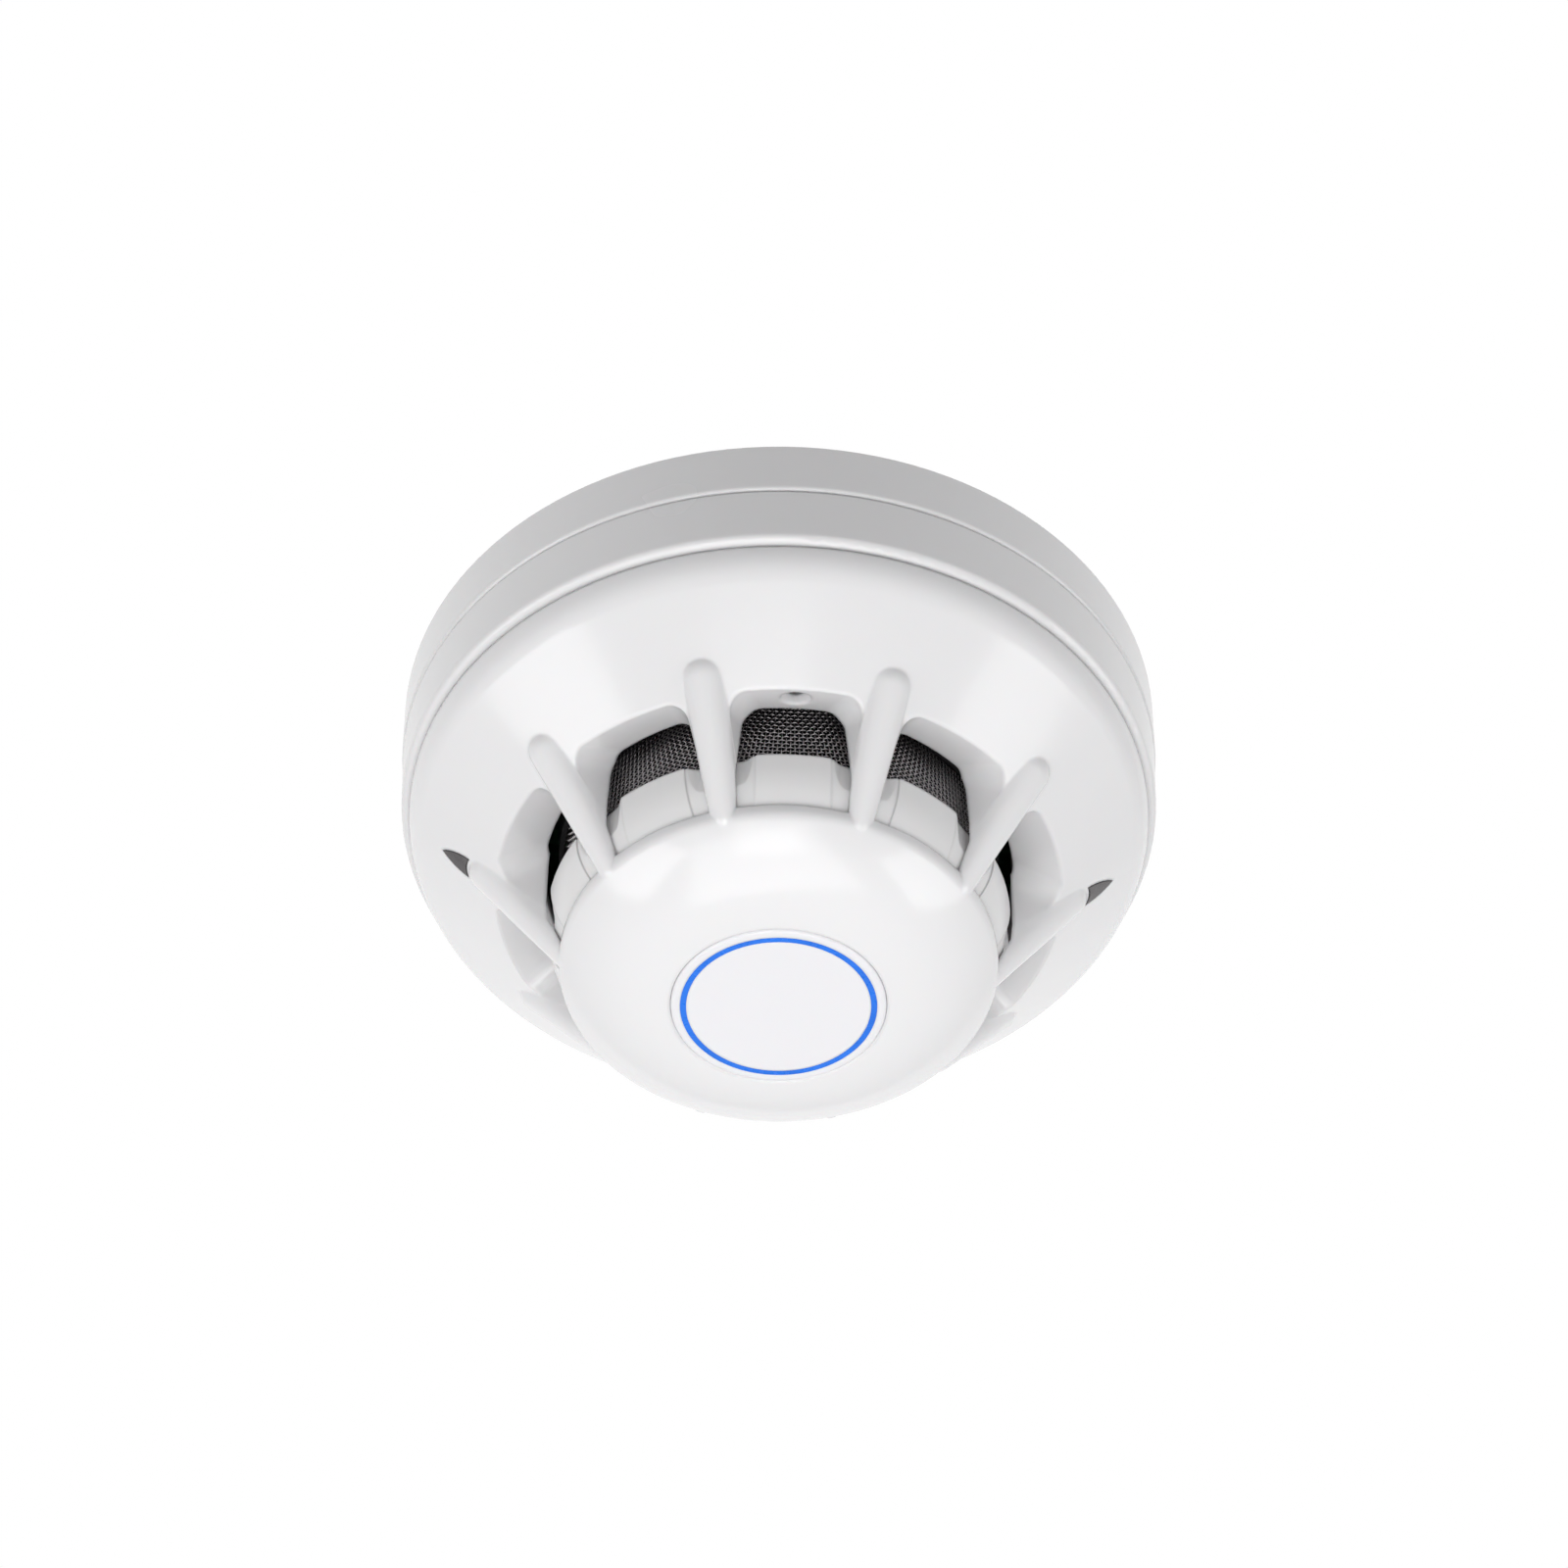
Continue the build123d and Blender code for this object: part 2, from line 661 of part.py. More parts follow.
# One block, which stands behind a window.
with BuildPart() as block:
    with BuildSketch(Plane.XZ):
        with BuildLine():
            block_face = deflector_face(0)
            Polyline(block_face @ 1, (26.5, deflector_foot), (28.8, block_top), block_face @ 0)
        make_face()
    revolve(axis=Axis.Z)
    with BuildSketch(Plane.XY.offset(-45)):
        with Locations((26, 0)):
            Rectangle(10, 2 * block_half_width)
    extrude(amount=12, mode=Mode.INTERSECT)
    side_edges = block.edges().filter_by(lambda edge: abs((edge @ 0.5).Y) > block_half_width - 0.01)
    chamfer(side_edges.sort_by(lambda edge: (edge @ 0.5).X)[-2:], block_step)

# An upright scoop, cut between each two blocks. It runs out where the face slopes inwards.
with BuildPart() as scoop:
    with BuildSketch(Plane.XY.offset(deflector_foot)):
        with BuildLine():
            mouth_half_width = scoop_half_width + scoop_reach * scoop_slope
            Polyline(
                (scoop_radius, scoop_half_width),
                (scoop_radius + scoop_reach, mouth_half_width),
                (scoop_radius + scoop_reach, -mouth_half_width),
                (scoop_radius, -scoop_half_width),
                close=True,
            )
        make_face()
        fillet(vertices().sort_by(Axis.X)[:2], 1.6)
    extrude(amount=block_top - deflector_foot + 1)

with BuildPart() as deflector_ring:
    with BuildSketch(Plane.XZ):
        with BuildLine():
            ring_face = deflector_face(block_step)
            Polyline(
                ring_face @ 1,
                (25.3, deflector_foot),
                (25.3, spigot_bottom),
                (23.8, spigot_bottom),
                (23.8, deflector_floor_top - 1.5),
                (0, deflector_floor_top - 1.5),
                (0, deflector_floor_top),
                (deflector_inner_radius, deflector_floor_top),
                (deflector_inner_radius, block_top),
                ring_face @ 0,
            )
        make_face()
    revolve(axis=Axis.Z)
    for index in range(window_count):
        add(block.part, rotation=(0, 0, (index + 0.5) * window_step))
    for index in range(window_count):
        add(scoop.part, rotation=(0, 0, index * window_step), mode=Mode.SUBTRACT)
deflector_ring.part.label = "deflector_ring"
export_step(deflector_ring.part, "parts/deflector_ring.step")

# ================================================================ smoke chamber
with BuildPart() as insect_mesh:
    ring(mesh_radius - mesh_wall, mesh_radius, mesh_bottom, mesh_top)
    disc(mesh_radius - mesh_wall, mesh_bottom, mesh_bottom + mesh_wall)
insect_mesh.part.label = "insect_mesh"
export_step(insect_mesh.part, "parts/insect_mesh.step")

drum_radius = mesh_radius + 0.6
drum_inner_radius = 26.9
drum_top = board_bottom - 0.1
drum_floor_top = -22.8
vane_ring_radius = 23.6
vane_bottom = -35.6
beam_z = -29.5
emitter_angle = 200.0
diode_angle = 65.0
emitter_reach = 16.0  # radius of the back of the emitter and of the photodiode
thermistor_radius = 24.9
thermistor_angles = (115.0, 295.0)
thermistor_points = [polar(thermistor_radius, angle) for angle in thermistor_angles]


def lead_points(angle):
    """Where the two wires of the emitter or the photodiode stand."""
    x, y = polar(emitter_reach + 0.6, angle)
    dx, dy = polar(1.27, angle + 90)
    return [(x + dx, y + dy), (x - dx, y - dy)]


optic_leads = lead_points(emitter_angle) + lead_points(diode_angle)

with BuildPart() as optical_block:
    ring(drum_inner_radius, drum_radius, mesh_top, drum_top)
    disc(drum_inner_radius, mesh_top, drum_floor_top)
    ring(vane_ring_radius + 2.0, mesh_radius - mesh_wall - 0.05, mesh_top - 0.8, mesh_top)
    for angle in (emitter_angle, diode_angle):
        with BuildSketch(turned_plane(emitter_reach - 2.2, angle, beam_z - 3.2)):
            Rectangle(7.2, 7.4)
        extrude(amount=mesh_top - beam_z + 3.2)
        # pocket and beam hole in each holder
        with BuildSketch(turned_plane(emitter_reach - 2.0, angle, beam_z - 1.65)):
            Rectangle(5.4, 5.2)
        extrude(amount=3.3, mode=Mode.SUBTRACT)
        with BuildSketch(turned_plane(emitter_reach - 5.5, angle, beam_z - 1.4)):
            Rectangle(3, 2.8)
        extrude(amount=2.8, mode=Mode.SUBTRACT)
    disc(0.4, beam_z - 2, drum_floor_top, Mode.SUBTRACT, optic_leads)
    disc(0.75, mesh_top - 0.8, drum_floor_top, Mode.SUBTRACT, thermistor_points)
optical_block.part.label = "optical_block"
export_step(optical_block.part, "parts/optical_block.step")

# Labyrinth: a ring of angled vanes that lets smoke in and keeps light out.
vane_count = 20
with BuildPart() as labyrinth:
    with BuildSketch(Plane.XY.offset(vane_bottom)):
        for index in range(vane_count):
            angle = index * 360 / vane_count
            with Locations(Location((*polar(21.3, angle), 0), (0, 0, angle + 50))):
                SlotOverall(4.2, 0.9)
            with Locations(Location((*polar(21.6, angle + 8), 0), (0, 0, angle - 45))):
                SlotOverall(3.0, 0.9)
    extrude(amount=mesh_top - vane_bottom)
    ring(19.6, vane_ring_radius, mesh_top - 1, mesh_top)
labyrinth.part.label = "labyrinth"
export_step(labyrinth.part, "parts/labyrinth.step")

with BuildPart() as chamber_lid:
    disc(vane_ring_radius + 0.2, vane_bottom - 1.6, vane_bottom)
    fillet(chamber_lid.faces().sort_by(Axis.Z)[0].edges(), 0.8)
chamber_lid.part.label = "chamber_lid"
export_step(chamber_lid.part, "parts/chamber_lid.step")


def optic_body(angle):
    """In the open part: a lamp body lying along the beam, with its lens towards the centre."""
    x, y = polar(emitter_reach, angle)
    inward = (-cos(radians(angle)), -sin(radians(angle)), 0)
    with BuildSketch(Plane(origin=(x, y, beam_z), z_dir=inward)) as outline:
        Circle(1.5)
    extrude(outline.sketch, amount=4.2)


with BuildPart() as ir_emitter:
    optic_body(emitter_angle)
    fillet(ir_emitter.edges().filter_by(GeomType.CIRCLE).sort_by(lambda e: e.center().length)[0], 1.2)
    disc(0.25, beam_z - 0.2, board_bottom, at=lead_points(emitter_angle))
    for point in lead_points(emitter_angle):
        with BuildSketch(turned_plane(hypot(*point) - 0.3, degrees(atan2(point[1], point[0])), beam_z - 0.2)):
            Rectangle(1.1, 0.5)
        extrude(amount=0.4)
ir_emitter.part.label = "ir_emitter"
export_step(ir_emitter.part, "parts/ir_emitter.step")

with BuildPart() as photodiode:
    with BuildSketch(turned_plane(emitter_reach - 1.6, diode_angle, beam_z - 1.3)):
        Rectangle(2.4, 3.6)
    extrude(amount=2.6)
    disc(0.25, beam_z - 0.2, board_bottom, at=lead_points(diode_angle))
    for point in lead_points(diode_angle):
        with BuildSketch(turned_plane(hypot(*point) - 0.5, degrees(atan2(point[1], point[0])), beam_z - 0.2)):
            Rectangle(1.4, 0.5)
        extrude(amount=0.4)
photodiode.part.label = "photodiode"
export_step(photodiode.part, "parts/photodiode.step")

# Screen of folded sheet round the photodiode, open at its front and back.
with BuildPart() as diode_screen:
    with BuildSketch(turned_plane(emitter_reach - 1.9, diode_angle, beam_z - 1.6)):
        Rectangle(3.6, 5.0)
    extrude(amount=3.2)
    with BuildSketch(turned_plane(emitter_reach - 1.9, diode_angle, beam_z - 1.35)):
        Rectangle(5.0, 4.5)
    extrude(amount=2.7, mode=Mode.SUBTRACT)
diode_screen.part.label = "diode_screen"
export_step(diode_screen.part, "parts/diode_screen.step")

bead_z = -31.0
with BuildPart() as thermistors:
    for x, y in thermistor_points:
        with Locations((x, y, bead_z)):
            Sphere(0.9)
        disc(0.2, bead_z + 0.5, board_bottom, at=((x, y + 0.35), (x, y - 0.35)))
thermistors.part.label = "thermistors"
export_step(thermistors.part, "parts/thermistors.step")

with BuildPart() as thermistor_sleeves:
    disc(0.7, bead_z + 1.6, board_bottom - 0.4, at=thermistor_points)
    for x, y in thermistor_points:
        disc(0.21, bead_z + 1.6, board_bottom - 0.4, Mode.SUBTRACT, ((x, y + 0.35), (x, y - 0.35)))
thermistor_sleeves.part.label = "thermistor_sleeves"
export_step(thermistor_sleeves.part, "parts/thermistor_sleeves.step")

# ================================================================ circuit board
with BuildPart() as circuit_board:
    disc(board_radius, board_bottom, board_top)
    disc(post_radius + 0.3, board_bottom, board_top, Mode.SUBTRACT, cover_screw_points)
    disc(1.6, board_bottom, board_top, Mode.SUBTRACT, (lock_position,))
    disc(1.3, board_bottom, board_top, Mode.SUBTRACT, board_screw_points)
    disc(0.95, board_bottom, board_top, Mode.SUBTRACT, rivet_points)
circuit_board.part.label = "circuit_board"
export_step(circuit_board.part, "parts/circuit_board.step")

with BuildPart() as board_screws:
    disc(2.1, board_bottom - 1.3, board_bottom, at=board_screw_points)
    fillet(board_screws.faces().sort_by(Axis.Z)[:3].edges(), 0.4)
    disc(1.0, board_bottom, -10.0, at=board_screw_points)
    with BuildSketch(Plane.XY.offset(board_bottom - 1.3)):
        with Locations(*board_screw_points):
            Rectangle(2.6, 0.6)
            Rectangle(0.6, 2.6)
    extrude(amount=0.7, mode=Mode.SUBTRACT)
board_screws.part.label = "board_screws"
export_step(board_screws.part, "parts/board_screws.step")


def chip(radius, angle, length, width, height):
    """In the open part: a flat package on the underside of the board."""
    with BuildSketch(turned_plane(radius, angle, board_bottom - height)) as outline:
        Rectangle(length, width)
    extrude(outline.sketch, amount=height)


pin_pitch = 0.8
with BuildPart() as microcontroller:
    chip(36, 330, 7, 7, 1.2)
    chamfer(microcontroller.faces().sort_by(Axis.Z)[0].edges(), 0.25)
    for side in range(4):
        for index in range(7):
            offset = (index - 3) * pin_pitch
            plane = turned_plane(36, 330, board_bottom - 0.4).rotated((0, 0, side * 90))
            with BuildSketch(plane):
                with Locations((4.0, offset)):
                    Rectangle(1.2, 0.35)
            extrude(amount=0.4)
microcontroller.part.label = "microcontroller"
export_step(microcontroller.part, "parts/microcontroller.step")

with BuildPart() as small_chips:
    chip(35.5, 198, 4, 5, 1.3)
    chip(36.5, 160, 3, 3, 1.1)
    chip(38.0, 222, 2, 5, 0.6)
    for angle in (20, 26, 32, 44, 50, 340, 346):
        chip(40.3, angle, 2, 1.25, 0.6)
small_chips.part.label = "small_chips"
export_step(small_chips.part, "parts/small_chips.step")

capacitor_points = [polar(36.5, 74), polar(36.5, 112)]
with BuildPart() as capacitors:
    disc(3.15, board_bottom - 6, board_bottom, at=capacitor_points)
    fillet(capacitors.faces().sort_by(Axis.Z)[:2].edges(), 0.5)
capacitors.part.label = "capacitors"
export_step(capacitors.part, "parts/capacitors.step")


def indicator(x):
    """In the open part: a small round lamp on the board over a lens."""
    disc(1.9, board_bottom - 0.8, board_bottom, at=((x, 0),))
    disc(1.5, board_bottom - 3.4, board_bottom - 0.8, at=((x, 0),))


with BuildPart() as right_led:
    indicator(lamp_radius)
    fillet(right_led.faces().sort_by(Axis.Z)[0].edges(), 1.3)
right_led.part.label = "right_led"
export_step(right_led.part, "parts/right_led.step")

with BuildPart() as left_led:
    indicator(-lamp_radius)
    fillet(left_led.faces().sort_by(Axis.Z)[0].edges(), 1.3)
left_led.part.label = "left_led"
export_step(left_led.part, "parts/left_led.step")
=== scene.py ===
import math

import bpy
import numpy as np
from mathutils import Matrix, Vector


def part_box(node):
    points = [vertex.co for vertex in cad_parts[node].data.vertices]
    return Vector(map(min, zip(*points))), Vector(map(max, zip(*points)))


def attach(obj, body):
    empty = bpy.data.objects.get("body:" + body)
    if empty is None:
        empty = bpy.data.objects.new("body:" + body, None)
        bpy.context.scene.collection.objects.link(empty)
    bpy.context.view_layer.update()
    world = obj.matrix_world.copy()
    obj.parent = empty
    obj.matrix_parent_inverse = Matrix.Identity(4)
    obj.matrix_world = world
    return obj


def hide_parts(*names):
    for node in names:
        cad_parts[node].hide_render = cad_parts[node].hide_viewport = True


# Looks of the ceiling fire detector. Metres, in the CAD model's frame: the ceiling is z = 0,
# the detector hangs towards -z and its front, with the access hole, faces -y.

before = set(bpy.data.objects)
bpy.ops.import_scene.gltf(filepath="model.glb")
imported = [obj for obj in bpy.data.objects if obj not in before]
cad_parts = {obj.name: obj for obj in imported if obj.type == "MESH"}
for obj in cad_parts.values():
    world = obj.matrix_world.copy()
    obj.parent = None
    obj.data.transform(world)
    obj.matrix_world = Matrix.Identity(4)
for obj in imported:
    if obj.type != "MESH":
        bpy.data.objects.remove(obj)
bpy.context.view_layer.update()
scene = bpy.context.scene

MM = 0.001
EDGE_SAMPLES = 12

# Noise cells to the metre.
FLOW_MARKS = 38.0
GLOSS_PATCHES = 60.0
WIRE_PATCHES = 160.0
WIRE_GLOSS_PATCHES = 220.0
# Colour patches of the blue ring, whose faint glow is painted light.
PAINTED_GLOW_PATCHES = 300.0
DRAWN_LINES = 420.0
SMALL_PATCHES = 500.0
SMALL_GLOSS_PATCHES = 700.0
FINE_LINES = 900.0
SHELL_GRAIN = 1400.0
SMOOTH_GRAIN = 1500.0
METAL_GRAIN = 2500.0


# ---------------------------------------------------------------- small helpers
def new_material(name):
    """A material with an empty node tree apart from its Principled shader and output."""
    material = bpy.data.materials.new(name)
    material.use_nodes = True
    shader = material.node_tree.nodes["Principled BSDF"]
    return material, material.node_tree, shader


def object_noise(tree, scale, detail=2.0, stretch=(1, 1, 1)):
    """A noise value laid out in the object's own space; scale counts cells to the metre."""
    place = tree.nodes.new("ShaderNodeTexCoord")
    mapping = tree.nodes.new("ShaderNodeMapping")
    mapping.inputs["Scale"].default_value = stretch
    noise = tree.nodes.new("ShaderNodeTexNoise")
    noise.inputs["Scale"].default_value = scale
    noise.inputs["Detail"].default_value = detail
    tree.links.new(place.outputs["Object"], mapping.inputs["Vector"])
    tree.links.new(mapping.outputs["Vector"], noise.inputs["Vector"])
    return noise.outputs["Fac"]


def colour_between(tree, factor, low, high, start=0.3, end=0.7):
    """A colour that runs from low to high as the factor goes from start to end."""
    ramp = tree.nodes.new("ShaderNodeValToRGB")
    ramp.color_ramp.elements[0].position = start
    ramp.color_ramp.elements[0].color = (*low, 1)
    ramp.color_ramp.elements[1].position = end
    ramp.color_ramp.elements[1].color = (*high, 1)
    tree.links.new(factor, ramp.inputs["Fac"])
    return ramp.outputs["Color"]


def value_between(tree, factor, low, high):
    """A value that runs from low to high as the factor goes from 0.3 to 0.7."""
    span = tree.nodes.new("ShaderNodeMapRange")
    span.inputs["From Min"].default_value = 0.3
    span.inputs["From Max"].default_value = 0.7
    span.inputs["To Min"].default_value = low
    span.inputs["To Max"].default_value = high
    tree.links.new(factor, span.inputs["Value"])
    return span.outputs["Result"]


def new_piece(name, vertices, faces):
    """A mesh object of the given points and faces, in the scene."""
    mesh = bpy.data.meshes.new(name)
    mesh.from_pydata(vertices, [], faces)
    mesh.update()
    piece = bpy.data.objects.new(name, mesh)
    scene.collection.objects.link(piece)
    return piece


def surface_normal(tree, shader, height, strength, distance, edge_radius=0.0):
    """Bump from the height, over edges that are rounded by edge_radius where it isn't 0."""
    bump = tree.nodes.new("ShaderNodeBump")
    bump.inputs["Strength"].default_value = strength
    bump.inputs["Distance"].default_value = distance
    tree.links.new(height, bump.inputs["Height"])
    if edge_radius:
        edge = tree.nodes.new("ShaderNodeBevel")
        edge.samples = EDGE_SAMPLES
        edge.inputs["Radius"].default_value = edge_radius
        tree.links.new(edge.outputs["Normal"], bump.inputs["Normal"])
    tree.links.new(bump.outputs["Normal"], shader.inputs["Normal"])


def connect_surface(tree, shader, colour, gloss):
    """Feeds the shader's colour and roughness."""
    tree.links.new(colour, shader.inputs["Base Color"])
    tree.links.new(gloss, shader.inputs["Roughness"])


def brick_pattern(tree, scale, mortar_size, first, second, mortar):
    """Rows of bricks in two colours, laid out in the object's own space."""
    place = tree.nodes.new("ShaderNodeTexCoord")
    bricks = tree.nodes.new("ShaderNodeTexBrick")
    bricks.inputs["Scale"].default_value = scale
    bricks.inputs["Mortar Size"].default_value = mortar_size
    for socket, colour in (("Color1", first), ("Color2", second), ("Mortar", mortar)):
        bricks.inputs[socket].default_value = (*colour, 1)
    tree.links.new(place.outputs["Object"], bricks.inputs["Vector"])
    return bricks


# ---------------------------------------------------------------- materials
def moulded_plastic(name, colour, roughness, edge_radius=0.4 * MM, texture=0.05, grain=900.0):
    """Moulded plastic: faint flow marks in the colour, uneven gloss and softened edges."""
    material, tree, shader = new_material(name)
    low = tuple(0.985 * channel for channel in colour)
    shade = colour_between(tree, object_noise(tree, FLOW_MARKS, 3.0), low, colour, 0.2, 0.8)
    patches = object_noise(tree, GLOSS_PATCHES)
    gloss = value_between(tree, patches, roughness * 0.94, roughness * 1.06)
    connect_surface(tree, shader, shade, gloss)
    shader.inputs["IOR"].default_value = 1.53
    surface_normal(tree, shader, object_noise(tree, grain, 3.0), texture, 0.06 * MM, edge_radius)
    return material


def glossy_white(name, colour, roughness=0.2, edge_radius=0.55 * MM):
    """The white gloss plastic of the detector's visible shells."""
    material = moulded_plastic(name, colour, roughness, edge_radius, 0.035, SHELL_GRAIN)
    shader = material.node_tree.nodes["Principled BSDF"]
    shader.inputs["Subsurface Weight"].default_value = 0.06
    shader.inputs["Subsurface Scale"].default_value = 1.0 * MM
    shader.inputs["Coat Weight"].default_value = 0.25
    shader.inputs["Coat Roughness"].default_value = 0.08
    return material


def metal(name, colour, roughness, stretch=(1, 1, 6)):
    """Drawn or turned metal: fine lines in the gloss and slightly uneven colour."""
    material, tree, shader = new_material(name)
    low = tuple(0.78 * channel for channel in colour)
    shade = colour_between(tree, object_noise(tree, DRAWN_LINES, 4.0, stretch), low, colour)
    lines = object_noise(tree, FINE_LINES, 3.0, stretch)
    gloss = value_between(tree, lines, roughness * 0.7, roughness * 1.4)
    connect_surface(tree, shader, shade, gloss)
    shader.inputs["Metallic"].default_value = 1.0
    grain = object_noise(tree, METAL_GRAIN, 2.0, stretch)
    surface_normal(tree, shader, grain, 0.12, 0.03 * MM, 0.12 * MM)
    return material


def mesh_wire(name):
    """Darkened steel wire, too thin for softened edges: uneven colour and gloss only."""
    material, tree, shader = new_material(name)
    patches = object_noise(tree, WIRE_PATCHES)
    shade = colour_between(tree, patches, (0.4, 0.38, 0.385), (0.5, 0.475, 0.48))
    gloss = value_between(tree, object_noise(tree, WIRE_GLOSS_PATCHES), 0.24, 0.32)
    connect_surface(tree, shader, shade, gloss)
    shader.inputs["Metallic"].default_value = 1.0
    return material


def smoked_lens(name):
    """Dark translucent plastic of the two indicator lenses."""
    material, tree, shader = new_material(name)
    patches = object_noise(tree, SMALL_PATCHES)
    shade = colour_between(tree, patches, (0.095, 0.085, 0.088), (0.13, 0.12, 0.122))
    gloss = value_between(tree, object_noise(tree, SMALL_GLOSS_PATCHES), 0.1, 0.18)
    connect_surface(tree, shader, shade, gloss)
    shader.inputs["Transmission Weight"].default_value = 0.25
    shader.inputs["IOR"].default_value = 1.49
    shader.inputs["Coat Weight"].default_value = 0.5
    surface_normal(tree, shader, object_noise(tree, SMOOTH_GRAIN), 0.03, 0.05 * MM, 0.25 * MM)
    return material


def blue_plastic_painted_glow(name):
    """Blue ring: saturated gloss plastic with a painted glow, a faint emission in its own colour though
    it is no lamp.
    """
    material, tree, shader = new_material(name)
    patches = object_noise(tree, PAINTED_GLOW_PATCHES)
    shade = colour_between(tree, patches, (0.01, 0.14, 0.66), (0.014, 0.17, 0.76))
    gloss = value_between(tree, object_noise(tree, SMALL_GLOSS_PATCHES), 0.22, 0.34)
    connect_surface(tree, shader, shade, gloss)
    # Painted glow: the plastic ring gives off a little of its own colour though it is no lamp.
    tree.links.new(shade, shader.inputs["Emission Color"])
    shader.inputs["Emission Strength"].default_value = 0.18
    surface_normal(tree, shader, object_noise(tree, SMOOTH_GRAIN), 0.04, 0.05 * MM)
    return material


def printed_board(name):
    """Dark green solder mask, with the copper runs under it as paler straight bands."""
    material, tree, shader = new_material(name)
    runs = brick_pattern(
        tree, 120.0, 0.035, (0.004, 0.016, 0.008), (0.005, 0.02, 0.01), (0.01, 0.04, 0.018)
    )
    gloss = value_between(tree, object_noise(tree, SMALL_PATCHES), 0.28, 0.42)
    connect_surface(tree, shader, runs.outputs["Color"], gloss)
    surface_normal(tree, shader, runs.outputs["Fac"], 0.25, 0.04 * MM)
    return material


def woven_floor(name):
    """The part of the mesh cup that lies flat, with the weave as a fine relief."""
    material, tree, shader = new_material(name)
    weave = brick_pattern(
        tree, 1 / (4 * WIRE_PITCH), 0.05, (0.1, 0.09, 0.09), (0.06, 0.055, 0.055), 3 * (0.005,)
    )
    gloss = value_between(tree, object_noise(tree, FINE_LINES), 0.35, 0.5)
    connect_surface(tree, shader, weave.outputs["Color"], gloss)
    shader.inputs["Metallic"].default_value = 0.8
    surface_normal(tree, shader, weave.outputs["Fac"], 0.6, 0.1 * MM)
    return material


# ---------------------------------------------------------------- woven insect mesh
# A plain weave of round wires, laid along x and y when flat and drawn into a cup: beyond the
# cup's radius, a point of the flat sheet goes up the wall by its distance from that circle.
WIRE_PITCH = 0.66 * MM
WIRE_RADIUS = 0.11 * MM
WAVE_HEIGHT = 0.125 * MM
STEPS_PER_PITCH = 2
SHORTEST_WIRE = 3  # in points
RIM_SIDES = 96
MESH_LOW, MESH_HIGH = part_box("insect_mesh")
CUP_RADIUS = MESH_HIGH.x - WIRE_RADIUS - WAVE_HEIGHT
CUP_FLOOR = MESH_LOW.z + WIRE_RADIUS
CUP_DEPTH = MESH_HIGH.z - MESH_LOW.z - 2 * WIRE_RADIUS


def wall_point(along, across, height):
    """Places points of the flat sheet on the cup's wall, height outwards. Arrays of metres."""
    reach = np.hypot(along, across)
    angle = np.arctan2(across, along)
    radius = CUP_RADIUS + height
    return np.stack(
        (radius * np.cos(angle), radius * np.sin(angle), CUP_FLOOR + reach - CUP_RADIUS), axis=1
    )


def wire_tube(points, vertices, faces):
    """Adds a round wire with four smooth sides along the points."""
    run = np.gradient(points, axis=0)
    run /= np.linalg.norm(run, axis=1)[:, None]
    outward = points * (1, 1, 0)
    outward /= np.linalg.norm(outward, axis=1)[:, None]
    side = np.cross(run, outward)
    side /= np.linalg.norm(side, axis=1)[:, None]
    outward = np.cross(side, run)
    first = sum(len(block) for block in vertices)
    ring = np.stack(
        [points + WIRE_RADIUS * offset for offset in (outward, side, -outward, -side)], axis=1
    )
    vertices.append(ring.reshape(-1, 3))
    index = first + np.arange(4 * len(points)).reshape(-1, 4)
    turned = np.roll(index, -1, axis=1)
    quads = np.stack((index[:-1], turned[:-1], turned[1:], index[1:]), axis=2)
    faces.extend(quads.reshape(-1, 4).tolist())
    faces.append(index[0, ::-1].tolist())
    faces.append(index[-1].tolist())


def weave_family(name, sign):
    """All wires that run one way: along x for sign 1, along y for sign -1."""
    outer = CUP_RADIUS + CUP_DEPTH
    count = int(outer / WIRE_PITCH)
    vertices, faces = [], []
    step = WIRE_PITCH / STEPS_PER_PITCH
    for number in range(-count, count):
        across = (number + 0.5) * WIRE_PITCH
        last = int(math.sqrt(outer**2 - across**2) / step)
        along = np.arange(-last, last + 1) * step
        height = WAVE_HEIGHT * np.cos(math.pi * (along / WIRE_PITCH - 0.5 + number)) * sign
        on_wall = np.hypot(along, across) >= CUP_RADIUS
        level = np.full_like(along, across)
        if sign > 0:
            points = wall_point(along, level, height)
        else:
            points = wall_point(level, along, height)
        # A wire that crosses the flat floor goes up the wall once at each end.
        crosses_floor = abs(across) < CUP_RADIUS
        for stretch in (along < 0, along >= 0) if crosses_floor else (on_wall,):
            chosen = points[on_wall & stretch]
            if len(chosen) >= SHORTEST_WIRE:
                wire_tube(chosen, vertices, faces)
    piece = new_piece(name, np.concatenate(vertices).tolist(), faces)
    piece.data.polygons.foreach_set("use_smooth", np.ones(len(faces), dtype=bool))
    return piece


def mesh_floor(name):
    """The flat bottom of the mesh cup, a thin disc with a rounded rim."""
    # Distance from the middle and height, both as shares of the cup's radius.
    profile = [(0.0, 0.0), (0.985, 0.0), (0.997, 0.012), (1.0, 0.03), (0.985, 0.012), (0.0, 0.012)]
    width = len(profile)
    vertices, faces = [], []
    for side in range(RIM_SIDES):
        angle = 2 * math.pi * side / RIM_SIDES
        for share, rise in profile:
            radius = share * CUP_RADIUS
            height = MESH_LOW.z + rise * CUP_RADIUS
            vertices.append((radius * math.cos(angle), radius * math.sin(angle), height))
        here, there = side * width, (side + 1) % RIM_SIDES * width
        for i in range(width - 1):
            faces.append((here + i, there + i, there + i + 1, here + i + 1))
    piece = new_piece(name, vertices, faces)
    piece.data.validate()
    return piece


